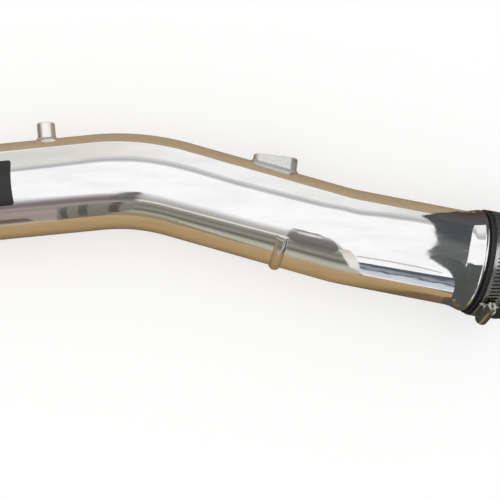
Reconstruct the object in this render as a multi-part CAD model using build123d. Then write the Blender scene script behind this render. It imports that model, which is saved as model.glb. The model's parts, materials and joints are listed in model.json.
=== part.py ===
# Polished aluminium intake pipe with its welded fittings, rubber coupling and worm-drive clamp.
# Millimetres, +Z up. The pipe lies on its first straight run and on the clamp band.
import os
from math import asin, cos, degrees, hypot, radians, sin, tan

from build123d import *

# Pipe: three straight runs joined by two mandrel bends in one plane
pipe_diameter = 76.2
pipe_wall = 1.65
bend_radius = 175.0
lead_run = 178.5
first_bend_angle = 21.5
middle_run = 128.2
second_bend_angle = 4.9
tail_run = 81.6
lead_heading = 5.64          # direction of the first run in plan, from +X towards +Y

# Flared hose stop and spigot at the end of the last run
flare_length = 9.0           # of the sloping cone
flare_rise = 2.6
flare_level = 0.4            # between the rounded edges of the crest
flare_back_angle = 75.0
flare_foot_radius = 24.0
flare_shoulder_radius = 6.0
flare_crest_radius = 2.0
flare_heel_radius = 0.6

# Clearance where one piece sits on another, and how near counts as on a surface
seat_gap = 0.05
near_surface = 0.01

# Hose nipple on the first run; angles go round the pipe from its upper side towards +Y
nipple_from_bend = 37.6
nipple_angle = 90.0
nipple_diameter = 14.0
nipple_bore = 10.0
nipple_height = 13.6
nipple_rim = 1.2
nipple_base_diameter = 14.5  # low shoulder that the hose is pushed up to
nipple_base_height = 2.4
nipple_weld_leg = 1.8

# Sensor pad on the middle run, its top face square to the sensor and not to the pipe
pad_along = 67.4
pad_angle = 90.0
pad_length = 35.5
pad_depth = 18.0
pad_corner = 7.0
pad_height = 8.2
pad_tilt = 9.0
pad_edge = 0.5
sensor_bore = 12.5
sensor_hole_allowance = 0.8
screw_circle = 25.0
screw_hole = 3.3
screw_depth = 5.0
pad_weld_leg = 1.9

# Half-round support rib, bent round the lower side of the middle run
rib_along = 89.7
rib_width = 9.2
rib_height = 3.0
rib_start_angle = -28.0
rib_end_angle = -138.0

# Label on the first run
label_end = 121.6            # from the open end of the pipe to the label's far edge
label_length = 62.0
label_angle = 1.6
label_width = 35.4           # round the pipe
label_thickness = 0.3
label_corner = 2.5

# Rubber coupling: a land for a clamp on each side of a plain middle, lips at both ends
coupling_wall = 3.0
coupling_lip = 1.8
coupling_lip_rise = 0.7
coupling_middle = 8.0
coupling_stop = 3.0          # inner shoulder between the two sockets
coupling_edge = 0.8

# Worm-drive clamp
band_width = 12.7
band_thickness = 0.75
band_play = 0.4              # between the housing and the lips beside it
clamp_angle = -60.0
band_start_angle = 12.0      # before the middle of the housing
ramp_angle = 24.0
ramp_lead = 6.0
tail_angle = 54.0            # past the middle of the housing
tail_corner = 5.0
slot_pitch_angle = 4.0
slot_length = 7.6
slot_width = 1.3
slot_slant = 14.0
slots_behind = 24            # slots on the side of the screw head
housing_length = 17.0
housing_wall = 1.0
housing_gap = 0.15
housing_shoulder_radius = 1.2
worm_diameter = 7.1
worm_gap = 0.2
flange_diameter = 9.0
flange_thickness = 1.0
head_across_flats = 7.0
head_height = 4.5
head_edge = 0.5
head_recess = 2.8
head_recess_depth = 2.2
head_slot = 1.2
tip_diameter = 4.0
tip_length = 1.6

# Worked-out sizes
pipe_radius = pipe_diameter / 2
bore_radius = pipe_radius - pipe_wall
flare_angle = degrees(asin(flare_rise / hypot(flare_rise, flare_length)))
front_turn = tan(radians(flare_angle / 2))
back_turn = tan(radians(flare_back_angle / 2))
flare_foot = flare_foot_radius * front_turn
crest_start = flare_foot + flare_length
crest_end = crest_start + flare_shoulder_radius * front_turn + flare_level + flare_crest_radius * back_turn
flare_heel = crest_end + flare_rise / tan(radians(flare_back_angle))
clamp_land = band_width + 2 * (housing_gap + housing_wall + band_play)
coupling_start = flare_heel + flare_heel_radius * back_turn + seat_gap
coupling_length = 2 * (coupling_lip + clamp_land) + coupling_middle
stop_start = (coupling_length - coupling_stop) / 2
spigot_end = coupling_start + stop_start - seat_gap
socket_radius = pipe_radius + seat_gap
land_radius = socket_radius + coupling_wall
lip_radius = land_radius + coupling_lip_rise
clamp_along = coupling_start + coupling_lip + clamp_land / 2
band_inner = land_radius + seat_gap
band_outer = band_inner + band_thickness
tail_inner = band_outer + seat_gap
tail_outer = tail_inner + band_thickness
worm_radius = worm_diameter / 2
screw_height = tail_outer + seat_gap + worm_radius
blank_length = 2 * pipe_diameter


# Centre line, in a working frame with the first run along X
def bend_from(run, angle):
    return JernArc(start=run @ 1, tangent=run % 1, radius=bend_radius, arc_size=angle)


def run_from(bend, length):
    return Line(bend @ 1, bend @ 1 + (bend % 1) * length)


lead_line = Line((0, 0, 0), (lead_run, 0, 0))
first_bend = bend_from(lead_line, -first_bend_angle)
middle_line = run_from(first_bend, middle_run)
second_bend = bend_from(middle_line, second_bend_angle)
tail_line = run_from(second_bend, tail_run)
centre_line = Wire([lead_line, first_bend, middle_line, second_bend, tail_line])


# A plane on the centre line: X along the pipe, Z outwards at the given angle round it
def pipe_plane(run, distance, angle=0.0):
    origin = run @ 0 + (run % 0) * distance
    upright = Plane(origin=origin, x_dir=run % 0, z_dir=(0, 0, 1))
    return Plane(upright.location * Rot(X=-angle))


nipple_plane = pipe_plane(lead_line, lead_run - nipple_from_bend, nipple_angle)
pad_seat = pipe_plane(middle_line, pad_along, pad_angle)
pad_top = Plane(Pos(Z=pipe_radius + pad_height) * Rot(Y=-pad_tilt))
rib_plane = pipe_plane(middle_line, rib_along, (rib_start_angle + rib_end_angle) / 2)
label_plane = pipe_plane(lead_line, label_end - label_length, label_angle)
flare_plane = pipe_plane(tail_line, tail_run)
coupling_plane = pipe_plane(tail_line, tail_run + coupling_start)
clamp_plane = pipe_plane(tail_line, tail_run + clamp_along, clamp_angle)


def pipe_blank(radius):
    return Rot(Y=90) * Cylinder(radius, blank_length)


def turned(points, radii):
    section = make_face(FilletPolyline(*points, radius=radii, close=True))
    return revolve(section, axis=Axis.X)


def upright_cylinder(radius, height):
    return Cylinder(radius, height, align=(Align.CENTER, Align.CENTER, Align.MIN))


def sunk_cylinder(radius, depth):
    return Cylinder(radius, depth, align=(Align.CENTER, Align.CENTER, Align.MAX))


# Weld bead: the concave fillet between a fitting and the pipe it stands on
def weld_bead(fitting, leg, half_length):
    seat = pipe_radius + seat_gap
    joint = pipe_blank(seat) + fitting

    def on_seam(edge):
        points = [edge @ 0, edge @ 0.5, edge @ 1]
        on_pipe = all(abs(hypot(p.Y, p.Z) - seat) < near_surface for p in points)
        return on_pipe and all(p.Z > 0 and abs(p.X) < half_length for p in points)

    return fillet(joint.edges().filter_by(on_seam), leg) - joint


# Flared hose stop and spigot, pressed out of the same wall
def make_flare():
    outer = [
        (0, pipe_radius),
        (flare_foot, pipe_radius),
        (crest_start, pipe_radius + flare_rise),
        (crest_end, pipe_radius + flare_rise),
        (flare_heel, pipe_radius),
        (spigot_end, pipe_radius),
    ]
    shifts = [0, front_turn, front_turn, -back_turn, -back_turn, 0]
    inner = [(x + pipe_wall * shift, r - pipe_wall) for (x, r), shift in zip(outer, shifts)]
    hollows = [flare_foot_radius, flare_heel_radius]
    crowns = [flare_shoulder_radius, flare_crest_radius]
    outer_radii = [0, hollows[0], crowns[0], crowns[1], hollows[1], 0]
    inner_hollows = [radius + pipe_wall for radius in hollows]
    inner_crowns = [radius - pipe_wall for radius in crowns]
    inner_radii = [0, inner_hollows[1], inner_crowns[1], inner_crowns[0], inner_hollows[0], 0]
    return flare_plane.location * turned(outer + inner[::-1], outer_radii + inner_radii)


def make_pipe():
    start = Plane(origin=centre_line @ 0, z_dir=centre_line % 0)
    skin = sweep(start * Circle(pipe_radius), path=centre_line)
    duct = sweep(start * Circle(bore_radius), path=centre_line)
    pipe = skin - duct + make_flare()
    pipe -= nipple_plane.location * upright_cylinder(nipple_bore / 2, pipe_diameter)
    sensor_hole = sunk_cylinder(sensor_bore / 2 + sensor_hole_allowance, pipe_radius)
    return pipe - (pad_seat.location * pad_top.location) * sensor_hole


def nipple_base():
    return upright_cylinder(nipple_base_diameter / 2, pipe_radius + nipple_base_height)


def make_nipple():
    post = upright_cylinder(nipple_diameter / 2, pipe_radius + nipple_height)
    post = fillet(post.edges().group_by(Axis.Z)[-1], nipple_rim) + nipple_base()
    post -= upright_cylinder(nipple_bore / 2, pipe_radius + nipple_height)
    return nipple_plane.location * (post - pipe_blank(pipe_radius + seat_gap))


def make_nipple_weld():
    return nipple_plane.location * weld_bead(nipple_base(), nipple_weld_leg, nipple_diameter)


def pad_block():
    outline = RectangleRounded(pad_length, pad_depth, pad_corner)
    return extrude(outline, amount=-(pad_height + pipe_radius))


def make_pad():
    block = pad_block()
    block = chamfer(block.edges().group_by(Axis.Z)[-1], pad_edge)
    block -= sunk_cylinder(sensor_bore / 2, pad_height + pipe_radius)
    for side in (-1, 1):
        block -= Pos(X=side * screw_circle / 2) * sunk_cylinder(screw_hole / 2, screw_depth)
    return pad_seat.location * (pad_top.location * block - pipe_blank(pipe_radius + seat_gap))


def make_pad_weld():
    return pad_seat.location * weld_bead(pad_top.location * pad_block(), pad_weld_leg, pad_length)


# Half-round bar rolled to the pipe, with domed ends
def make_rib():
    section_radius = (rib_width**2 / 4 + rib_height**2) / (2 * rib_height)
    middle = pipe_radius + rib_height - section_radius
    half_arc = (rib_start_angle - rib_end_angle) / 2
    under_rib = pipe_blank(pipe_radius + seat_gap)
    section = Pos(0, middle) * Circle(section_radius)
    section -= Rectangle(pipe_diameter, 2 * (pipe_radius + seat_gap))
    bar = Rot(X=-half_arc) * revolve(Plane.XZ * section, axis=Axis.X, revolution_arc=2 * half_arc)
    dome = Sphere(section_radius, arc_size3=180)
    for side in (0, 180):
        bar += Rot(Z=side) * Rot(X=-half_arc) * (Pos(Z=middle) * Rot(Z=180) * dome - under_rib)
    return rib_plane.location * bar


def make_label():
    inner = pipe_radius + seat_gap
    arc = degrees(label_width / inner)
    section = Plane.XZ * Pos(label_length / 2, inner + label_thickness / 2)
    section = section * Rectangle(label_length, label_thickness)
    sheet = Rot(X=-arc / 2) * revolve(section, axis=Axis.X, revolution_arc=arc)
    corners = sheet.edges().filter_by(lambda edge: edge.length < 2 * label_thickness)
    return label_plane.location * fillet(corners, label_corner)


def make_coupling():
    land_end = coupling_lip + clamp_land
    outer = [
        (0, socket_radius),
        (0, lip_radius),
        (coupling_lip, lip_radius),
        (coupling_lip, land_radius),
        (land_end, land_radius),
        (land_end, lip_radius),
    ]
    outer += [(coupling_length - x, r) for x, r in reversed(outer)]
    inner = [
        (stop_start + coupling_stop, socket_radius),
        (stop_start + coupling_stop, bore_radius),
        (stop_start, bore_radius),
        (stop_start, socket_radius),
    ]
    half_radii = [0, coupling_edge, coupling_lip_rise / 2, 0, 0, coupling_lip_rise / 2]
    radii = half_radii + half_radii[::-1] + [0, coupling_edge, coupling_edge, 0]
    return coupling_plane.location * turned(outer + inner, radii)


def polar(radius, angle):
    return (radius * cos(radians(angle)), radius * sin(radians(angle)))


# One edge line of the wound band: round the coupling, up a ramp and on over its own start
def band_line(rise):
    start = 90 - band_start_angle
    ramp_end = 360 + start - ramp_lead
    ramp_start = ramp_end - ramp_angle
    low = band_inner + rise
    high = tail_inner + rise
    ramp_middle = polar((low + high) / 2, (ramp_start + ramp_end) / 2)
    hoop = CenterArc((0, 0), low, start, ramp_start - start)
    ramp = ThreePointArc(polar(low, ramp_start), ramp_middle, polar(high, ramp_end))
    tail = CenterArc((0, 0), high, ramp_end, 450 + tail_angle - ramp_end)
    return [hoop, ramp, tail]


def make_band():
    inside = band_line(0)
    outside = band_line(band_thickness)
    caps = [Line(inside[0] @ 0, outside[0] @ 0), Line(inside[-1] @ 1, outside[-1] @ 1)]
    band = extrude(make_face(inside + outside + caps), amount=band_width / 2, both=True)
    tail_end = Vector(*polar(tail_inner + band_thickness / 2, 90 + tail_angle))
    end_face = band.faces().sort_by_distance(tail_end)[0]
    band = fillet(end_face.edges().sort_by(SortBy.LENGTH)[:2], tail_corner)
    slot = Rot(X=90) * Box(slot_width, slot_length, 4 * band_thickness)
    tail_slots = int((tail_angle - degrees(tail_corner / tail_outer)) / slot_pitch_angle)
    for step in range(-slots_behind, tail_slots + 1):
        angle = step * slot_pitch_angle
        level = tail_outer if angle > -band_start_angle - ramp_lead else band_outer
        band -= Rot(Z=angle) * Pos(Y=level) * Rot(Y=slot_slant) * slot
    frame = Plane(clamp_plane.origin, x_dir=clamp_plane.y_dir, z_dir=clamp_plane.x_dir)
    return frame.location * band


# Housing: an arched tunnel for the worm over a wide foot that straddles the band
def make_housing():
    slot_half = band_width / 2 + housing_gap
    foot_half = slot_half + housing_wall
    tunnel = worm_radius + worm_gap
    arch = tunnel + housing_wall
    slot_top = tail_outer + housing_gap
    shoulder = slot_top + housing_wall
    foot = Pos(Y=shoulder / 2) * Rectangle(2 * foot_half, shoulder)
    foot = fillet(foot.vertices().group_by(Axis.Y)[-1], housing_shoulder_radius)
    neck = Pos(Y=screw_height / 2) * Rectangle(2 * arch, screw_height)
    outline = foot + neck + Pos(Y=screw_height) * Circle(arch)
    profile = Plane.XZ * outline
    body = extrude(profile, amount=housing_length / 2, both=True)
    body -= Rot(Y=90) * Cylinder(slot_top, 2 * slot_half)
    body -= pipe_blank(land_radius + seat_gap)
    body -= Pos(Z=screw_height) * Rot(X=90) * Cylinder(tunnel, 2 * housing_length)
    below_worm = (Align.CENTER, Align.CENTER, Align.MAX)
    body -= Pos(Z=screw_height) * Box(2 * tunnel, 2 * housing_length, worm_diameter, align=below_worm)
    return clamp_plane.location * body


def make_screw():
    half = housing_length / 2
    worm = Pos(Z=-half) * upright_cylinder(worm_radius, housing_length + seat_gap)
    worm += Pos(Z=-half) * sunk_cylinder(tip_diameter / 2, tip_length)
    seat = half + seat_gap
    worm += Pos(Z=seat) * upright_cylinder(flange_diameter / 2, flange_thickness)
    hexagon = RegularPolygon(head_across_flats / 2, 6, major_radius=False)
    head = extrude(hexagon, amount=flange_thickness + head_height)
    head = chamfer(head.edges().group_by(Axis.Z)[-1], head_edge)
    top = flange_thickness + head_height
    head -= Pos(Z=top) * sunk_cylinder(head_recess / 2, head_recess_depth)
    head -= Pos(Z=top) * Box(head_slot, 2 * head_across_flats, 2 * head_recess_depth)
    worm += Pos(Z=seat) * head
    return clamp_plane.location * Pos(Z=screw_height) * Rot(X=-90) * worm


pieces = {
    "intake_pipe": make_pipe(),
    "breather_nipple": make_nipple(),
    "nipple_weld": make_nipple_weld(),
    "sensor_pad": make_pad(),
    "pad_weld": make_pad_weld(),
    "support_rib": make_rib(),
    "label": make_label(),
    "rubber_coupling": make_coupling(),
    "clamp_band": make_band(),
    "clamp_housing": make_housing(),
    "clamp_screw": make_screw(),
}

# Rest: rolled about the first run until the clamp band touches the floor too
rest_roll = degrees(asin((band_outer - pipe_radius) / -clamp_plane.origin.Y))
rest = Pos(Z=pipe_radius) * Rot(Z=lead_heading) * Rot(X=-rest_roll)
lying = {name: rest * piece for name, piece in pieces.items()}

# Origin: on the floor, under the middle of the whole part
box = Compound(list(lying.values())).bounding_box()
to_origin = Pos(-box.center().X, -box.center().Y, -box.min.Z)
placement = to_origin * rest

os.makedirs("parts", exist_ok=True)
for name, piece in lying.items():
    export_step(to_origin * piece, f"parts/{name}.step")
    print(name, len(piece.solids()), "solid", round(piece.volume, 1), "mm3")
print("rest roll", round(rest_roll, 2), "degrees, size", box.size)
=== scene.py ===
import json
import math

import bmesh
import bpy
from mathutils import Matrix, Vector
from mathutils.geometry import intersect_point_line


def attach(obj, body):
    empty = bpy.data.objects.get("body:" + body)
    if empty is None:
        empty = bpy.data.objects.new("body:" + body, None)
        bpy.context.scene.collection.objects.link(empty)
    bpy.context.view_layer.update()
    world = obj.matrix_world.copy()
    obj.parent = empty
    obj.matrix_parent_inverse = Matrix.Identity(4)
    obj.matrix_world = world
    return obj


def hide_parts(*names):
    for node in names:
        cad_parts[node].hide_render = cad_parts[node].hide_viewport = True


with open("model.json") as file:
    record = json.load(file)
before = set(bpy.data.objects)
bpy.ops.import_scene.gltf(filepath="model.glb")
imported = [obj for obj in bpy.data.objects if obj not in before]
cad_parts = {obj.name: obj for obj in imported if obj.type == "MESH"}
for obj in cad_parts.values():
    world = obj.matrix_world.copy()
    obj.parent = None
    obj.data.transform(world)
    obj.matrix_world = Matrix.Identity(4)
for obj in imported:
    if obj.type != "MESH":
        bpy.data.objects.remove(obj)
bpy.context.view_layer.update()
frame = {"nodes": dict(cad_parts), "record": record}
nodes = frame["nodes"]
mounts = {mount["name"]: mount for mount in frame["record"]["mounts"]}
print("frame:", len(nodes), "nodes")


def mm(value):
    return value / 1000


# Centre line of the pipe, from the frame: the open end, its direction and the plane of the bends
pipeStart = Vector(mounts["pipe_end"]["pos_m"])
leadDir = -Vector(mounts["pipe_end"]["axis"]).normalized()
tailDir = Vector(mounts["coupling_socket"]["axis"]).normalized()
bendAxis = tailDir.cross(leadDir).normalized()


# Materials
def hexColor(text):
    parts = [int(text[i:i + 2], 16) / 255 for i in (1, 3, 5)]
    linear = [p / 12.92 if p <= 0.04045 else ((p + 0.055) / 1.055) ** 2.4 for p in parts]
    return (*linear, 1.0)


def addNode(tree, kind, sockets, **settings):
    node = tree.nodes.new("ShaderNode" + kind)
    for name, value in settings.items():
        setattr(node, name, value)
    for name, value in sockets.items():
        if isinstance(value, bpy.types.NodeSocket):
            tree.links.new(value, node.inputs[name])
        else:
            node.inputs[name].default_value = value
    return node


def newMaterial(name, color, metallic, roughness):
    material = bpy.data.materials.new(name)
    material.use_nodes = True
    tree = material.node_tree
    shader = tree.nodes["Principled BSDF"]
    shader.inputs["Base Color"].default_value = hexColor(color)
    shader.inputs["Metallic"].default_value = metallic
    shader.inputs["Roughness"].default_value = roughness
    place = addNode(tree, "TexCoord", {}).outputs["Object"]
    return material, tree, shader, place


def perMetre(size):  # noise scale for features of a size in millimetres
    return 1000 / size


# Polished aluminium tube: a near mirror, with the slow waves that a buffing wheel leaves along it.
# It is dull inside, where no wheel reaches.
def polishedAluminium():
    look = dict(color="#F3F3F4", dull="#EAEAEB", roughLow=0.03, roughHigh=0.09, stretch=0.22,
                wave=26, waveDepth=0.10, haze=3, film=8,
                boreColor="#BDBCB8", boreRough=0.46, boreMetal=0.35)
    material, tree, shader, place = newMaterial("polished aluminium", look["color"], 1.0, look["roughLow"])
    along = addNode(tree, "Mapping", {"Vector": place, "Scale": (look["stretch"], 1, 1)}).outputs[0]
    waves = addNode(tree, "TexNoise", {"Vector": along, "Scale": perMetre(look["wave"]), "Detail": 1.0})
    haze = addNode(tree, "TexNoise", {"Vector": along, "Scale": perMetre(look["haze"]), "Detail": 3.0})
    rough = addNode(tree, "MapRange", {"Value": haze.outputs[0], "From Min": 0.35, "From Max": 0.75,
                                       "To Min": look["roughLow"], "To Max": look["roughHigh"]})
    inside = addNode(tree, "Attribute", {}, attribute_name="inside").outputs["Fac"]
    metal = addNode(tree, "Mix", {0: inside, 2: 1.0, 3: look["boreMetal"]})
    tree.links.new(metal.outputs[0], shader.inputs["Metallic"])
    rough = addNode(tree, "Mix", {0: inside, 2: rough.outputs[0], 3: look["boreRough"]})
    tree.links.new(rough.outputs[0], shader.inputs["Roughness"])
    film = addNode(tree, "TexNoise", {"Vector": along, "Scale": perMetre(look["film"]), "Detail": 4.0})
    cover = addNode(tree, "MapRange", {"Value": film.outputs[0], "From Min": 0.4, "From Max": 0.7})
    color = addNode(tree, "Mix", {0: cover.outputs[0], 6: hexColor(look["color"]),
                                  7: hexColor(look["dull"])}, data_type="RGBA")
    color = addNode(tree, "Mix", {0: inside, 6: color.outputs[2], 7: hexColor(look["boreColor"])},
                    data_type="RGBA")
    tree.links.new(color.outputs[2], shader.inputs["Base Color"])
    bump = addNode(tree, "Bump", {"Height": waves.outputs[0], "Distance": mm(look["waveDepth"]),
                                  "Strength": 1.0})
    tree.links.new(bump.outputs[0], shader.inputs["Normal"])
    return material


# Turned aluminium, buffed by hand: satin, with the faint rings of a lathe tool round its axis
def turnedAluminium():
    look = dict(color="#F0EDE9", roughLow=0.27, roughHigh=0.32, rings=2.4, ringDepth=0.004, stretch=0.03)
    material, tree, shader, place = newMaterial("turned aluminium", look["color"], 1.0, look["roughLow"])
    turned = (look["stretch"], 1, look["stretch"])
    along = addNode(tree, "Mapping", {"Vector": place, "Scale": turned}).outputs[0]
    rings = addNode(tree, "TexNoise", {"Vector": along, "Scale": perMetre(look["rings"]), "Detail": 2.0})
    rough = addNode(tree, "MapRange", {"Value": rings.outputs[0], "From Min": 0.3, "From Max": 0.7,
                                       "To Min": look["roughLow"], "To Max": look["roughHigh"]})
    tree.links.new(rough.outputs[0], shader.inputs["Roughness"])
    bump = addNode(tree, "Bump", {"Height": rings.outputs[0], "Distance": mm(look["ringDepth"]),
                                  "Strength": 1.0})
    tree.links.new(bump.outputs[0], shader.inputs["Normal"])
    return material


# Drawn aluminium bar, polished after bending: bright, with the lines of the die running round the pipe
def drawnAluminium():
    look = dict(color="#E2E0DC", roughLow=0.1, roughHigh=0.22, lines=1.1, lineDepth=0.04, stretch=0.06)
    material, tree, shader, place = newMaterial("drawn aluminium", look["color"], 1.0, look["roughLow"])
    drawn = (1, look["stretch"], look["stretch"])
    across = addNode(tree, "Mapping", {"Vector": place, "Scale": drawn}).outputs[0]
    lines = addNode(tree, "TexNoise", {"Vector": across, "Scale": perMetre(look["lines"]), "Detail": 2.0})
    rough = addNode(tree, "MapRange", {"Value": lines.outputs[0], "From Min": 0.3, "From Max": 0.7,
                                       "To Min": look["roughLow"], "To Max": look["roughHigh"]})
    tree.links.new(rough.outputs[0], shader.inputs["Roughness"])
    bump = addNode(tree, "Bump", {"Height": lines.outputs[0], "Distance": mm(look["lineDepth"]),
                                  "Strength": 1.0})
    tree.links.new(bump.outputs[0], shader.inputs["Normal"])
    return material


# Machined aluminium: satin, with the fine parallel lines of a milling cutter
def machinedAluminium():
    look = dict(color="#DCDCDB", worn="#CBCBC9", roughness=0.34, lines=0.8, lineDepth=0.02, stretch=0.05,
                patch=1.4)
    material, tree, shader, place = newMaterial("machined aluminium", look["color"], 1.0, look["roughness"])
    patches = addNode(tree, "TexNoise", {"Vector": place, "Scale": perMetre(look["patch"]), "Detail": 4.0})
    cover = addNode(tree, "MapRange", {"Value": patches.outputs[0], "From Min": 0.4, "From Max": 0.65})
    color = addNode(tree, "Mix", {0: cover.outputs[0], 6: hexColor(look["color"]),
                                  7: hexColor(look["worn"])}, data_type="RGBA")
    tree.links.new(color.outputs[2], shader.inputs["Base Color"])
    across = addNode(tree, "Mapping", {"Vector": place, "Scale": (look["stretch"], 1, 1)}).outputs[0]
    lines = addNode(tree, "TexNoise", {"Vector": across, "Scale": perMetre(look["lines"]), "Detail": 2.0})
    bump = addNode(tree, "Bump", {"Height": lines.outputs[0], "Distance": mm(look["lineDepth"]),
                                  "Strength": 1.0})
    tree.links.new(bump.outputs[0], shader.inputs["Normal"])
    return material


# Weld metal: aluminium as it froze, dull and finely grained
def weldMetal():
    look = dict(color="#BDBCB8", roughness=0.42, grain=0.8, grainDepth=0.05)
    material, tree, shader, place = newMaterial("weld metal", look["color"], 1.0, look["roughness"])
    grain = addNode(tree, "TexNoise", {"Vector": place, "Scale": perMetre(look["grain"]), "Detail": 3.0})
    bump = addNode(tree, "Bump", {"Height": grain.outputs[0], "Distance": mm(look["grainDepth"]),
                                  "Strength": 1.0})
    tree.links.new(bump.outputs[0], shader.inputs["Normal"])
    return material


# Label film: black polyester with a satin face
def labelFilm():
    look = dict(color="#17171A", roughness=0.36, grain=0.7, grainDepth=0.006)
    material, tree, shader, place = newMaterial("black polyester film", look["color"], 0.0,
                                                look["roughness"])
    grain = addNode(tree, "TexNoise", {"Vector": place, "Scale": perMetre(look["grain"]), "Detail": 2.0})
    bump = addNode(tree, "Bump", {"Height": grain.outputs[0], "Distance": mm(look["grainDepth"]),
                                  "Strength": 1.0})
    tree.links.new(bump.outputs[0], shader.inputs["Normal"])
    return material


# Moulded black rubber: dull, with a fine sparked grain and a grey bloom
def blackRubber():
    look = dict(color="#1A1A1B", bloom="#2B2A29", roughness=0.6, patch=14, grain=1.1, grainDepth=0.05)
    material, tree, shader, place = newMaterial("moulded black rubber", look["color"], 0.0,
                                                look["roughness"])
    patches = addNode(tree, "TexNoise", {"Vector": place, "Scale": perMetre(look["patch"]), "Detail": 3.0})
    color = addNode(tree, "Mix", {0: patches.outputs[0], 6: hexColor(look["color"]),
                                  7: hexColor(look["bloom"])}, data_type="RGBA")
    tree.links.new(color.outputs[2], shader.inputs["Base Color"])
    grain = addNode(tree, "TexNoise", {"Vector": place, "Scale": perMetre(look["grain"]), "Detail": 2.0})
    bump = addNode(tree, "Bump", {"Height": grain.outputs[0], "Distance": mm(look["grainDepth"]),
                                  "Strength": 1.0})
    tree.links.new(bump.outputs[0], shader.inputs["Normal"])
    return material


# Stainless strip: cold rolled, bright, with fine rolling lines along the band
def stainlessStrip():
    look = dict(color="#C6C4C0", roughLow=0.17, roughHigh=0.25, lines=0.45, lineDepth=0.004, stretch=0.05)
    material, tree, shader, place = newMaterial("rolled stainless strip", look["color"], 1.0,
                                                look["roughLow"])
    rolled = (1, look["stretch"], look["stretch"])
    across = addNode(tree, "Mapping", {"Vector": place, "Scale": rolled}).outputs[0]
    lines = addNode(tree, "TexNoise", {"Vector": across, "Scale": perMetre(look["lines"]), "Detail": 1.0})
    rough = addNode(tree, "MapRange", {"Value": lines.outputs[0], "From Min": 0.3, "From Max": 0.7,
                                       "To Min": look["roughLow"], "To Max": look["roughHigh"]})
    tree.links.new(rough.outputs[0], shader.inputs["Roughness"])
    bump = addNode(tree, "Bump", {"Height": lines.outputs[0], "Distance": mm(look["lineDepth"]),
                                  "Strength": 1.0})
    tree.links.new(bump.outputs[0], shader.inputs["Normal"])
    return material


# Zinc plated steel: bright, with a faint yellow cast in patches
def platedSteel():
    look = dict(color="#BEBCB6", cast="#B7AE98", roughness=0.24, patch=3)
    material, tree, shader, place = newMaterial("zinc plated steel", look["color"], 1.0, look["roughness"])
    patches = addNode(tree, "TexNoise", {"Vector": place, "Scale": perMetre(look["patch"]), "Detail": 3.0})
    color = addNode(tree, "Mix", {0: patches.outputs[0], 6: hexColor(look["color"]),
                                  7: hexColor(look["cast"])}, data_type="RGBA")
    tree.links.new(color.outputs[2], shader.inputs["Base Color"])
    return material


finishes = {
    "polished_aluminium": polishedAluminium(),
    "machined_aluminium": machinedAluminium(),
    "weld_metal": weldMetal(),
    "label_film": labelFilm(),
    "black_rubber": blackRubber(),
    "stainless_strip": stainlessStrip(),
    "plated_steel": platedSteel(),
}
# two pieces that are polished too, but less than the pipe
buffed = {"breather_nipple": turnedAluminium(), "support_rib": drawnAluminium()}
for part in frame["record"]["subparts"]:
    mesh = nodes[part["node"]].data
    mesh.materials.clear()
    mesh.materials.append(buffed.get(part["node"], finishes[part["material_slot"]]))
print("finishes:", len(finishes) + len(buffed))


# Pipe skin: a ring drawn along the runs, spun round the bends and opened out into the flare
pipe = dict(radius=mm(38.1), wall=mm(1.65), bendRadius=mm(175), segments=160, ringStep=mm(4),
            leadRun=mm(178.5), firstBend=21.5, middleRun=mm(128.2), secondBend=4.9, tailRun=mm(81.6),
            bendStep=0.6, flareLength=mm(9), flareRise=mm(2.6), flareLevel=mm(0.4), backAngle=75,
            footRadius=mm(24), shoulderRadius=mm(6), crestRadius=mm(2), heelRadius=mm(0.6), spigot=mm(21),
            flareSegments=(14, 8, 8, 4), merge=mm(0.002), rimEdge=mm(0.3), rimSegments=3, rimAngle=60,
            holes={"nipple_end": mm(5.0), "sensor_bore": mm(7.05)}, holeDepth=mm(26), holeSegments=64,
            boreFacing=0.5)
sharpAngle = 40  # edges that turn by more degrees than this stay crisp


def addRing(bm, ring, direction, distance, scale=1.0, centre=None):
    grown = bmesh.ops.extrude_edge_only(bm, edges=ring)["geom"]
    verts = [item for item in grown if isinstance(item, bmesh.types.BMVert)]
    if centre is not None:
        bmesh.ops.scale(bm, vec=(scale,) * 3, space=Matrix.Translation(-centre), verts=verts)
    bmesh.ops.translate(bm, vec=direction * distance, verts=verts)
    return [item for item in grown if isinstance(item, bmesh.types.BMEdge)
            and all(vert in set(verts) for vert in item.verts)]


def drawRun(bm, ring, direction, length):
    steps = max(1, round(length / pipe["ringStep"]))
    for _ in range(steps):
        ring = addRing(bm, ring, direction, length / steps)
    return ring


def spinBend(bm, ring, centre, angle):
    steps = round(abs(angle) / pipe["bendStep"])
    turned = bmesh.ops.spin(bm, geom=ring, cent=centre, axis=bendAxis, angle=math.radians(angle),
                            steps=steps, use_merge=False, use_duplicate=False)
    return [item for item in turned["geom_last"] if isinstance(item, bmesh.types.BMEdge)]


def turnDir(direction, angle):
    return Matrix.Rotation(math.radians(angle), 3, bendAxis) @ direction


def newObject(bm, name):
    mesh = bpy.data.meshes.new(name)
    bm.to_mesh(mesh)
    bm.free()
    item = bpy.data.objects.new(name, mesh)
    bpy.context.scene.collection.objects.link(item)
    return item


def finishPiece(piece, material):
    mesh = piece.data
    mesh.polygons.foreach_set("use_smooth", [True] * len(mesh.polygons))
    mesh.set_sharp_from_angle(angle=math.radians(sharpAngle))
    mesh.materials.clear()
    mesh.materials.append(material)
    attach(piece, "root")


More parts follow.
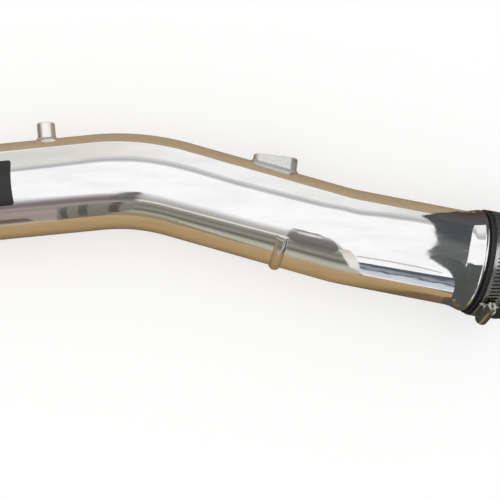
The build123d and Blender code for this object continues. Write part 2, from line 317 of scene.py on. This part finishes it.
def cutHole(piece, top, axis, radius, depth):
    bm = bmesh.new()
    facing = axis.to_track_quat("Z", "Y").to_matrix().to_4x4()
    bmesh.ops.create_cone(bm, cap_ends=True, segments=pipe["holeSegments"], radius1=radius, radius2=radius,
                          depth=depth, matrix=Matrix.Translation(top - axis * depth / 2) @ facing)
    drill = newObject(bm, "drill")
    cut = piece.modifiers.new("hole", "BOOLEAN")
    cut.operation = "DIFFERENCE"
    cut.object = drill
    drilled = bpy.data.meshes.new_from_object(piece.evaluated_get(bpy.context.evaluated_depsgraph_get()))
    piece.modifiers.clear()
    piece.data = drilled
    bpy.data.objects.remove(drill)


def facesBore(face, places):  # true where a face looks towards the pipe's centre line
    middle = face.calc_center_median()
    nearest = []
    for first, last in zip(places, places[1:]):
        share = min(max(intersect_point_line(middle, first, last)[1], 0), 1)
        nearest.append(first.lerp(last, share))
    axisPoint = min(nearest, key=lambda point: (point - middle).length)
    return face.normal.dot((axisPoint - middle).normalized()) > pipe["boreFacing"]


def buildPipe():
    bm = bmesh.new()
    facing = leadDir.to_track_quat("Z", "Y").to_matrix().to_4x4()
    circle = bmesh.ops.create_circle(bm, cap_ends=False, segments=pipe["segments"], radius=pipe["radius"],
                                     matrix=Matrix.Translation(pipeStart) @ facing)
    ring = list({edge for vert in circle["verts"] for edge in vert.link_edges})
    place = pipeStart + leadDir * pipe["leadRun"]
    ring = drawRun(bm, ring, leadDir, pipe["leadRun"])
    direction = leadDir
    runEnds = [(pipeStart, direction), (place, direction)]
    for angle, run in ((-pipe["firstBend"], pipe["middleRun"]), (pipe["secondBend"], pipe["tailRun"])):
        side = bendAxis.cross(direction) * math.copysign(1, angle)
        centre = place + side * pipe["bendRadius"]
        ring = spinBend(bm, ring, centre, angle)
        place = centre + turnDir(place - centre, angle)
        direction = turnDir(direction, angle)
        ring = drawRun(bm, ring, direction, run)
        runEnds += [(place, direction), (place + direction * run, direction)]
        place = place + direction * run
    # flare: rings at its corners, whose edges are then rounded
    frontTurn = math.tan(math.atan2(pipe["flareRise"], pipe["flareLength"]) / 2)
    backTurn = math.tan(math.radians(pipe["backAngle"]) / 2)
    reach = [pipe["footRadius"] * frontTurn, pipe["shoulderRadius"] * frontTurn,
             pipe["crestRadius"] * backTurn, pipe["heelRadius"] * backTurn]
    top = pipe["radius"] + pipe["flareRise"]
    crest = reach[1] + pipe["flareLevel"] + reach[2]
    back = pipe["flareRise"] / math.tan(math.radians(pipe["backAngle"]))
    corners = []
    steps = ((reach[0], 1), (pipe["flareLength"], top / pipe["radius"]), (crest, 1),
             (back, pipe["radius"] / top))
    for distance, scale in steps:
        ring = addRing(bm, ring, direction, distance, scale, place)
        place = place + direction * distance
        corners.append(ring)
    addRing(bm, ring, direction, pipe["spigot"])
    for ring, size, segments in zip(corners, reach, pipe["flareSegments"]):
        edges = [edge for edge in ring if edge.is_valid]
        bmesh.ops.bevel(bm, geom=edges, offset=size, offset_type="OFFSET", segments=segments, profile=0.5,
                        affect="EDGES", material=-1, clamp_overlap=True)
    bmesh.ops.remove_doubles(bm, verts=bm.verts, dist=pipe["merge"])
    bmesh.ops.recalc_face_normals(bm, faces=bm.faces)
    bmesh.ops.solidify(bm, geom=bm.faces, thickness=pipe["wall"])
    rimAngle = math.radians(pipe["rimAngle"])
    rims = [edge for edge in bm.edges if edge.is_manifold and edge.calc_face_angle() > rimAngle]
    bmesh.ops.bevel(bm, geom=rims, offset=pipe["rimEdge"], offset_type="OFFSET", profile=0.5,
                    segments=pipe["rimSegments"], affect="EDGES", material=-1, clamp_overlap=True)
    bm.normal_update()
    inside = bm.faces.layers.float.new("inside")
    places = [place for place, _ in runEnds]
    for face in bm.faces:
        face[inside] = float(facesBore(face, places))
    piece = newObject(bm, "pipe_skin")
    for mountName, radius in pipe["holes"].items():
        top = Vector(mounts[mountName]["pos_m"])
        axis = Vector(mounts[mountName]["axis"]).normalized()
        cutHole(piece, top, axis, radius, pipe["holeDepth"])
    finishPiece(piece, finishes["polished_aluminium"])
    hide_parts("intake_pipe")
    print("pipe skin:", len(piece.data.polygons), "faces")
    return runEnds


runEnds = buildPipe()


# Weld beads: laid along the seam of each fitting, with the row of ripples that a hand-fed rod leaves.
# A weld's run is where in runEnds the straight under it starts.
welds = {
    "nipple_weld": dict(mount="nipple_end", run=0, size=(mm(14.5), mm(14.5)), corner=mm(7.25), leg=mm(1.8)),
    "pad_weld": dict(mount="sensor_bore", run=2, size=(mm(35.5), mm(18)), corner=mm(7), leg=mm(1.9)),
}
ripple = dict(pitch=mm(1.7), depth=mm(0.34), hollow=mm(0.22), bury=mm(0.06), steps=10, rows=8)


def seamStations(weld):  # inner point and outward angle at each step round a rounded outline
    across, up = (size / 2 - weld["corner"] for size in weld["size"])
    corners = [Vector((-across, up)), Vector((across, up)), Vector((across, -up)), Vector((-across, -up))]
    step = ripple["pitch"] / ripple["steps"]
    stations = []
    for side in range(4):
        first, last = corners[side], corners[(side + 1) % 4]
        angle = math.radians(90 - 90 * side)
        count = round((last - first).length / step)
        stations += [(first.lerp(last, k / count), angle) for k in range(count)]
        count = round(weld["corner"] * math.pi / 2 / step)
        stations += [(last, angle - math.pi / 2 * k / count) for k in range(count)]
    return stations


def dropToPipe(point, axis, place, direction):  # where a line down the fitting's axis meets the pipe
    gap = point - place
    gap = gap - direction * gap.dot(direction)
    fall = axis - direction * axis.dot(direction)
    reach = gap.dot(fall)
    depth = reach - math.sqrt(reach ** 2 - fall.length_squared * (gap.length_squared - pipe["radius"] ** 2))
    return point - axis * depth / fall.length_squared


def buildWeld(name, weld):
    place, direction = runEnds[weld["run"]]
    axis = Vector(mounts[weld["mount"]]["axis"]).normalized()
    centre = Vector(mounts[weld["mount"]]["pos_m"])
    along = (direction - axis * direction.dot(axis)).normalized()
    across = axis.cross(along)
    bm = bmesh.new()
    loops = []
    for index, (inner, angle) in enumerate(seamStations(weld)):
        outward = along * math.cos(angle) + across * math.sin(angle)
        base = centre + along * inner.x + across * inner.y
        root = dropToPipe(base + outward * weld["corner"], axis, place, direction)
        foot = dropToPipe(base + outward * (weld["corner"] + weld["leg"]), axis, place, direction)
        top = root + axis * weld["leg"]
        swell = (foot + top - root * 2).normalized()
        rise = ripple["depth"] * abs(math.cos(math.pi * index / ripple["steps"])) - ripple["hollow"]
        foot = foot - axis * ripple["bury"]
        top = top - outward * ripple["bury"]
        shares = [row / ripple["rows"] for row in range(ripple["rows"] + 1)]
        points = [foot.lerp(top, share) + swell * rise * math.sin(math.pi * share) for share in shares]
        verts = [bm.verts.new(point) for point in (*points, root - swell * ripple["bury"])]
        loops.append([bm.edges.new(pair) for pair in zip(verts, verts[1:] + verts[:1])])
    for loop, after in zip(loops, loops[1:] + loops[:1]):
        bmesh.ops.bridge_loops(bm, edges=loop + after)
    bmesh.ops.recalc_face_normals(bm, faces=bm.faces)
    piece = newObject(bm, name + "_ripples")
    finishPiece(piece, finishes["weld_metal"])
    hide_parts(name)
    print(name, len(piece.data.polygons), "faces")


for name, weld in welds.items():
    buildWeld(name, weld)


# Floor and light: a pale floor under an even white sky, and papers that only the metal's reflections show
stageLook = dict(floor="#FDFCFB", floorSize=6.0, lift=0.55, sky="#FFFFFF", skyStrength=1.06, paperRough=0.9)
# where the tan paper meets the dark one
darkEdge = ((0.27, -3.0), (0.236, -0.35), (0.216, -0.22), (0.213, -0.08), (0.222, 0.0), (0.232, 0.05),
            (0.241, 0.095), (0.247, 0.132), (0.26, 0.175), (0.28, 0.22))
# where the two tan papers meet, under the pipe
underPipe = ((0.214, -0.03), (0.1, -0.004), (-0.04, 0.034), (-0.16, 0.026), (-2.0, -0.15))
# painted reflections: tan papers that the pipe's rims mirror in place of a tan floor, a dark one past the
# flared end, and darker layers, the darkest on top, as painted shade in the near rim towards the flare
sheets = {
    "near_tan": dict(
        color="#B29363", lift=mm(0.4),
        outline=((-2.0, -3.0), *darkEdge[:4], *underPipe)),
    "far_tan": dict(
        color="#AE9776", lift=mm(0.4),
        outline=(*underPipe[::-1], *darkEdge[4:], (2.0, 0.3), (-2.0, 0.34))),
    "dark_reflection_sheet": dict(
        color="#5A4A3A", lift=mm(0.4),
        outline=(*darkEdge, (0.9, 0.248), (0.9, -3.0))),
    "end_shade_rim": dict(
        color="#A68A5C", lift=mm(0.9),
        outline=((0.03, -0.05), (0.108, -0.118), (0.148, -0.168), (0.165, -0.2), (0.19, -0.225),
                 (0.216, -0.2), (0.213, -0.05))),
    "end_shade": dict(
        color="#9A7D54", lift=mm(1.0),
        outline=((0.08, -0.05), (0.13, -0.1), (0.158, -0.15), (0.17, -0.178), (0.19, -0.2),
                 (0.216, -0.18), (0.213, -0.05))),
    "end_shade_deep": dict(
        color="#8A6F4A", lift=mm(1.1),
        outline=((0.098, -0.05), (0.138, -0.092), (0.162, -0.14), (0.171, -0.166), (0.19, -0.188),
                 (0.216, -0.17), (0.213, -0.05))),
    "end_shade_core": dict(
        color="#7A6140", lift=mm(1.2),
        outline=((0.115, -0.05), (0.145, -0.084), (0.165, -0.13), (0.172, -0.154), (0.19, -0.178),
                 (0.216, -0.165), (0.213, -0.05))),
    "flare_shade": dict(
        color="#5A4A3A", lift=mm(1.4),
        outline=((0.199, -0.05), (0.198, -0.13), (0.203, -0.2), (0.218, -0.26), (0.218, -0.05))),
}
# the pipe's own soft shadow, painted on the paper and seen only in its mirrored rim: width and tone of each
# layer, the darkest on top
shades = dict(lift=mm(0.5), step=mm(0.1),
              layers={"shade_wide": (mm(100), "#AE8F66"), "shade": (mm(80), "#A38660"),
                      "shade_narrow": (mm(62), "#967B57")})
plainCard = dict(along="Z", mottle=0, grain=60, stretch=1)  # what a card has unless it says otherwise
# painted reflections: each card glows, though it is no lamp, with the tones the metal should mirror there,
# and only reflections show it; the pale ones paint highlights and glints, the dark flags paint dark
# reflections
# each card stands upright on one line: y for those along the pipe, x for those across it
cards = {
    "far_card": dict(
        y=0.4, along="X",
        outline=((-0.6, 0), (0.5, 0), (0.5, 0.2), (0.34, 0.215), (0.286, 0.265), (0.235, 0.37),
                 (0.1, 0.41), (0.04, 0.385), (-0.09, 0.39), (-0.22, 0.44), (-0.34, 0.5), (-0.6, 0.6)),
        stops=((0.0, "#DCDDD5"), (0.3, "#E3E3DC"), (0.42, "#EFEBE6"), (0.6, "#FEFEFD"),
               (0.8, "#F4F5F1"), (0.9, "#D8D6D2"))),
    "side_card": dict(
        x=-0.36,
        outline=((-0.02, 0), (0.2, 0), (0.2, 0.3), (-0.02, 0.3)),
        stops=((0.0, "#6E6156"), (0.4, "#8E8278"), (0.75, "#B4AAA0"), (1.0, "#DAD4CC"))),
    "lead_flag": dict(
        y=-0.1, mottle=0.08, grain=14, stretch=0.3,
        outline=((-0.5, 0.055), (-0.09, 0.06), (-0.085, 0.09), (-0.084, 0.11), (-0.089, 0.15),
                 (-0.094, 0.2), (-0.103, 0.26), (-0.15, 0.275), (-0.2, 0.3), (-0.5, 0.325)),
        stops=((0.0, "#7E6E60"), (0.06, "#807B72"), (0.3, "#8A867E"), (0.37, "#A59C96"),
               (0.44, "#7E7273"), (0.53, "#857A7C"), (0.6, "#A09698"), (0.68, "#C6C1C2"),
               (0.78, "#F2F0F1"), (1.0, "#FFFFFF"))),
    "lead_tip": dict(
        y=-0.099, mottle=0.2, grain=14,
        outline=((-0.0925, 0.185), (-0.094, 0.2), (-0.1, 0.24), (-0.107, 0.29), (-0.116, 0.34),
                 (-0.113, 0.285), (-0.108, 0.246), (-0.105, 0.22), (-0.101, 0.185)),
        stops=((0.0, "#6A6662"), (1.0, "#7C7876"))),
    "lead_glow": dict(
        y=-0.098, mottle=0.12, grain=12, stretch=0.3,
        outline=((-0.5, 0.05), (-0.126, 0.056), (-0.127, 0.1), (-0.131, 0.142), (-0.16, 0.146),
                 (-0.5, 0.15)),
        stops=((0.0, "#D2C7B2"), (0.16, "#A89C90"), (0.4, "#A0948C"), (0.7, "#A99B92"),
               (1.0, "#8E8280"))),
    "lead_streak": dict(
        y=-0.097, mottle=0.2, grain=12, stretch=0.3,
        outline=((-0.5, 0.07), (-0.152, 0.066), (-0.146, 0.072), (-0.155, 0.09), (-0.5, 0.1)),
        stops=((0.0, "#847A72"), (0.4, "#685F58"), (1.0, "#8A8078"))),
    "lead_patch_one": dict(
        y=-0.0985, mottle=0.3, grain=8,
        outline=((-0.1215, 0.065), (-0.116, 0.065), (-0.121, 0.138), (-0.1275, 0.132)),
        stops=((0.0, "#5A544C"), (0.5, "#605E58"), (1.0, "#72706A"))),
    "lead_patch_two": dict(
        y=-0.0985, mottle=0.3, grain=8,
        outline=((-0.1065, 0.07), (-0.0985, 0.07), (-0.1025, 0.142), (-0.111, 0.14)),
        stops=((0.0, "#65625A"), (0.5, "#5E5E58"), (1.0, "#6E6E68"))),
    "lead_patch_three": dict(
        y=-0.0985, mottle=0.3, grain=8,
        outline=((-0.0895, 0.08), (-0.0863, 0.08), (-0.0915, 0.152), (-0.0945, 0.15)),
        stops=((0.0, "#5C514A"), (0.5, "#5C544D"), (1.0, "#686058"))),
    "middle_card": dict(
        y=-0.15, mottle=0.05, grain=40, stretch=0.25,
        outline=((-0.2, 0.06), (0.119, 0.06), (0.119, 0.12), (0.1, 0.2), (0.1, 0.45), (-0.15, 0.45),
                 (-0.13, 0.35), (-0.121, 0.26), (-0.2, 0.2)),
        stops=((0.0, "#958A6E"), (0.05, "#948B75"), (0.1, "#B2AC9A"), (0.17, "#64645A"),
               (0.23, "#96958A"), (0.3, "#7C7B70"), (0.41, "#A3A296"), (0.45, "#FFFEF8"),
               (0.5, "#B0AEA6"), (0.7, "#CFCDCB"), (0.85, "#F0F0EE"), (1.0, "#FFFFFF"))),
    "middle_flag": dict(
        y=-0.148, mottle=0.16, grain=30, stretch=0.6,
        outline=((0.031, 0.23), (0.048, 0.166), (0.077, 0.165), (0.092, 0.231), (0.097, 0.485),
                 (0.088, 0.52), (0.084, 0.62), (0.07, 0.56), (0.06, 0.6), (0.043, 0.568),
                 (0.035, 0.409)),
        stops=((0.0, "#86837C"), (0.1, "#6E6967"), (0.38, "#85807E"), (0.5, "#989391"),
               (0.6, "#BDB8B7"), (0.7, "#ACA7A6"), (0.82, "#857F7F"), (1.0, "#8A8686"))),
    "middle_glow": dict(
        y=-0.1492, mottle=0.3, grain=14, stretch=0.3,
        outline=((-0.08, 0.088), (0.0, 0.068), (0.04, 0.06), (0.116, 0.06), (0.116, 0.101),
                 (0.0, 0.104), (-0.08, 0.098)),
        stops=((0.0, "#B0A88E"), (0.5, "#C2BEAE"), (1.0, "#B2B2A6"))),
    # painted highlight: a bright glint across the dark flag
    "flag_streak": dict(
        y=-0.1475, mottle=0.3, grain=8,
        outline=((0.046, 0.36), (0.06, 0.37), (0.078, 0.4), (0.083, 0.5), (0.064, 0.47), (0.046, 0.42)),
        stops=((0.0, "#B5AFAE"), (0.5, "#F4F2F0"), (1.0, "#DAD6D4"))),
    "gap_card": dict(
        y=-0.149, mottle=0.2, grain=12,
        outline=((0.106, 0.1), (0.116, 0.085), (0.116, 0.2), (0.112, 0.27), (0.1, 0.27),
                 (0.094, 0.24), (0.097, 0.17)),
        stops=((0.0, "#DEDAD2"), (0.3, "#F6F2EE"), (0.6, "#EAE2DC"), (1.0, "#D2C4C0"))),
    "tail_card": dict(
        y=-0.1495, mottle=0.6, grain=16,
        outline=((0.116, 0.07), (0.21, 0.07), (0.21, 0.158), (0.116, 0.15)),
        stops=((0.0, "#DFE3E8"), (0.3, "#CBD0D8"), (0.42, "#5A616C"), (0.6, "#A5A9B2"),
               (0.75, "#5A6068"), (1.0, "#555B62"))),
    "tail_line": dict(
        y=-0.1494, mottle=0.4, grain=10, stretch=0.4,
        outline=((0.118, 0.196), (0.15, 0.204), (0.18, 0.198), (0.2, 0.18), (0.2, 0.192),
                 (0.18, 0.212), (0.15, 0.22), (0.118, 0.21)),
        stops=((0.0, "#D6CFC6"), (0.5, "#BFB4AC"), (1.0, "#DCD2CC"))),
    "flare_flag": dict(
        x=0.196, mottle=0.2, grain=20,
        outline=((-0.036, 0.1), (-0.038, 0.13), (-0.045, 0.17), (-0.055, 0.185), (-0.066, 0.185),
                 (-0.078, 0.165), (-0.08, 0.13), (-0.086, 0.1), (-0.092, 0.05), (-0.093, 0.02),
                 (-0.06, 0.02), (-0.055, 0.075)),
        stops=((0.0, "#4C4E4B"), (0.4, "#565856"), (1.0, "#6A6C6B"))),
    "foot_flag": dict(
        y=-0.06, mottle=0.2, grain=10,
        outline=((0.19, 0.02), (0.199, 0.02), (0.2005, 0.085), (0.2025, 0.13), (0.207, 0.19),
                 (0.222, 0.26), (0.205, 0.26), (0.195, 0.19), (0.196, 0.12), (0.1935, 0.085)),
        stops=((0.0, "#4C4E4B"), (0.4, "#565856"), (1.0, "#666866"))),
    "spigot_flag": dict(
        x=0.2, mottle=0.2, grain=20,
        outline=((-0.036, 0.1), (-0.036, 0.14), (-0.045, 0.17), (-0.055, 0.2), (-0.072, 0.2),
                 (-0.09, 0.165), (-0.1, 0.14), (-0.108, 0.1), (-0.108, 0.015), (-0.07, 0.015),
                 (-0.06, 0.06)),
        stops=((0.0, "#4C4B45"), (0.4, "#565856"), (1.0, "#6A6C6B"))),
    "far_flag": dict(
        y=0.05,
        outline=((0.2, 0.056), (0.208, 0.04), (0.216, 0.028), (0.228, 0), (0.4, 0), (0.4, 0.074),
                 (0.2, 0.074)),
        stops=((0.0, "#4A3F36"), (0.6, "#55504E"), (1.0, "#5A5A5E"))),
    "end_flag": dict(
        x=0.27, mottle=0.2, grain=60,
        outline=((-0.8, 0), (-0.075, 0), (-0.06, 0.28), (0.035, 0.28), (0.05, 0), (0.195, 0),
                 (0.21, 0.02), (0.228, 0.052), (0.24, 0.078), (0.236, 0.096), (0.221, 0.114),
                 (0.205, 0.145), (0.186, 0.191), (0.16, 0.255), (0.088, 0.355), (0.03, 0.44),
                 (-0.032, 0.525), (-0.19, 0.613), (-0.329, 0.576), (-0.397, 0.495), (-0.54, 0.49),
                 (-0.8, 0.36)),
        stops=((0.0, "#4C4D4E"), (0.35, "#545556"), (0.5, "#6C6E6E"), (0.8, "#666868"),
               (1.0, "#5A5C5C"))),
}
# painted reflection of a soft grey line along the top of the far card: strips of falling width, the darkest
# in front
farLine = dict(
    y=0.396, step=mm(1), below=0.6, above=0.4,
    spine=((0.5, 0.215), (0.34, 0.208), (0.286, 0.258), (0.235, 0.357), (0.1, 0.397), (0.04, 0.368),
           (-0.09, 0.374), (-0.22, 0.425), (-0.34, 0.487), (-0.6, 0.58)),
    strips=((mm(160), "#DCDCDA"), (mm(100), "#CECECE"), (mm(44), "#BCBCBE")))


def addStage(name, bm, material, reflectedOnly):
    item = newObject(bm, name)
    item.data.materials.append(material)
    if reflectedOnly:
        item.visible_camera = item.visible_diffuse = item.visible_shadow = False


def plainFloor():  # white where it is seen or mirrored, with a light shadow left on it
    bm = bmesh.new()
    bmesh.ops.create_grid(bm, x_segments=1, y_segments=1, size=stageLook["floorSize"] / 2)
    material, tree, shader, _ = newMaterial("painted board", stageLook["floor"], 0.0,
                                            stageLook["paperRough"])
    path = addNode(tree, "LightPath", {}).outputs
    seen = addNode(tree, "Math", {0: path["Is Camera Ray"], 1: path["Is Glossy Ray"]}, operation="ADD")
    seen = addNode(tree, "Math", {0: seen.outputs[0], 1: path["Is Transmission Ray"]}, operation="ADD",
                   use_clamp=True)
    share = addNode(tree, "Math", {0: seen.outputs[0], 1: stageLook["lift"]}, operation="MULTIPLY")
    glow = addNode(tree, "Emission", {"Color": hexColor(stageLook["sky"]), "Strength": 1.0})
    mixed = addNode(tree, "MixShader", {0: share.outputs[0], 1: shader.outputs[0], 2: glow.outputs[0]})
    tree.links.new(mixed.outputs[0], tree.nodes["Material Output"].inputs["Surface"])
    addStage("floor", bm, material, False)


# painted reflection: a sheet that the camera never sees, whose colour only paints what the metal mirrors
def addSheet(name, sheet):  # floor paper that only the rims of the pipe mirror
    bm = bmesh.new()
    bm.faces.new([bm.verts.new((x, y, sheet["lift"])) for x, y in sheet["outline"]])
    material = newMaterial("painted reflection paper", sheet["color"], 0.0, stageLook["paperRough"])[0]
    addStage(name, bm, material, True)


# painted shadow: a darker sheet along the pipe's near side that only its reflection shows
def addShade(name, reach, color, lift):  # the pipe's own soft shadow on the paper, along its near side
    rim = [place + direction.cross(bendAxis) * reach for place, direction in runEnds]
    line = [place for place, _ in runEnds]
    addSheet(name, dict(color=color, lift=lift, outline=[(p.x, p.y) for p in line + rim[::-1]]))


# painted reflection: a card that glows, though it is no lamp, and that only the metal mirrors
def addCard(name, given):  # an upright card whose tones run up it, or along it
    card = plainCard | given
    bm = bmesh.new()
    if "x" in card:
        corners = [(card["x"], y, z) for y, z in card["outline"]]
    else:
        corners = [(x, card["y"], z) for x, z in card["outline"]]
    bm.faces.new([bm.verts.new(corner) for corner in corners])
    reach = [corner["XYZ".index(card["along"])] for corner in corners]
    material = bpy.data.materials.new("painted reflection card")
    material.use_nodes = True
    tree = material.node_tree
    tree.nodes.clear()
    place = addNode(tree, "TexCoord", {}).outputs["Object"]
    run = addNode(tree, "SeparateXYZ", {0: place}).outputs[card["along"]]
    run = addNode(tree, "MapRange", {"Value": run, "From Min": min(reach), "From Max": max(reach)})
    drawn = addNode(tree, "Mapping", {"Vector": place, "Scale": (card["stretch"], 1, 1)}).outputs[0]
    patches = addNode(tree, "TexNoise", {"Vector": drawn, "Scale": perMetre(card["grain"]), "Detail": 4.0})
    shift = addNode(tree, "Math", {0: patches.outputs[0], 1: card["mottle"], 2: -card["mottle"] / 2},
                    operation="MULTIPLY_ADD")
    level = addNode(tree, "Math", {0: run.outputs[0], 1: shift.outputs[0]}, operation="ADD")
    ramp = addNode(tree, "ValToRGB", {0: level.outputs[0]})
    while len(ramp.color_ramp.elements) < len(card["stops"]):
        ramp.color_ramp.elements.new(1.0)
    for element, (position, color) in zip(ramp.color_ramp.elements, card["stops"]):
        element.position = position
        element.color = hexColor(color)
    glow = addNode(tree, "Emission", {"Color": ramp.outputs[0], "Strength": 1.0})
    addNode(tree, "OutputMaterial", {"Surface": glow.outputs[0]})
    addStage(name, bm, material, True)


def studioWorld():
    world = bpy.data.worlds.new("studio")
    bpy.context.scene.world = world
    world.use_nodes = True
    background = world.node_tree.nodes["Background"]
    background.inputs["Color"].default_value = hexColor(stageLook["sky"])
    background.inputs["Strength"].default_value = stageLook["skyStrength"]


plainFloor()
for name, sheet in sheets.items():
    addSheet(name, sheet)
for layer, (name, (reach, color)) in enumerate(shades["layers"].items()):
    addShade(name, reach, color, shades["lift"] + layer * shades["step"])
for name, card in cards.items():
    addCard(name, card)
for layer, (width, color) in enumerate(farLine["strips"]):
    low = [(x, z - width * farLine["below"]) for x, z in farLine["spine"]]
    high = [(x, z + width * farLine["above"]) for x, z in farLine["spine"]]
    addCard(f"far_line_{layer}", dict(y=farLine["y"] - layer * farLine["step"], outline=low + high[::-1],
                                      stops=((0.0, color), (1.0, color))))
studioWorld()
print("stage:", len(sheets), "sheets,", len(cards), "cards")


# Camera: straight down on the lying pipe
view = dict(lens=50, sensor=36, centre=(mm(37.93), mm(-22.22)), pixel=mm(0.8), axisHeight=mm(39.5),
            frame=500, clip=(0.01, 50))


def addCamera():
    data = bpy.data.cameras.new("camera")
    data.lens = view["lens"]
    data.sensor_width = view["sensor"]
    data.sensor_fit = "HORIZONTAL"
    data.clip_start, data.clip_end = view["clip"]
    camera = bpy.data.objects.new("camera", data)
    bpy.context.scene.collection.objects.link(camera)
    distance = view["pixel"] * view["frame"] * view["lens"] / view["sensor"]
    camera.location = (*view["centre"], view["axisHeight"] + distance)
    bpy.context.scene.camera = camera


addCamera()
bpy.context.scene.view_settings.view_transform = "Standard"

print("scene done")
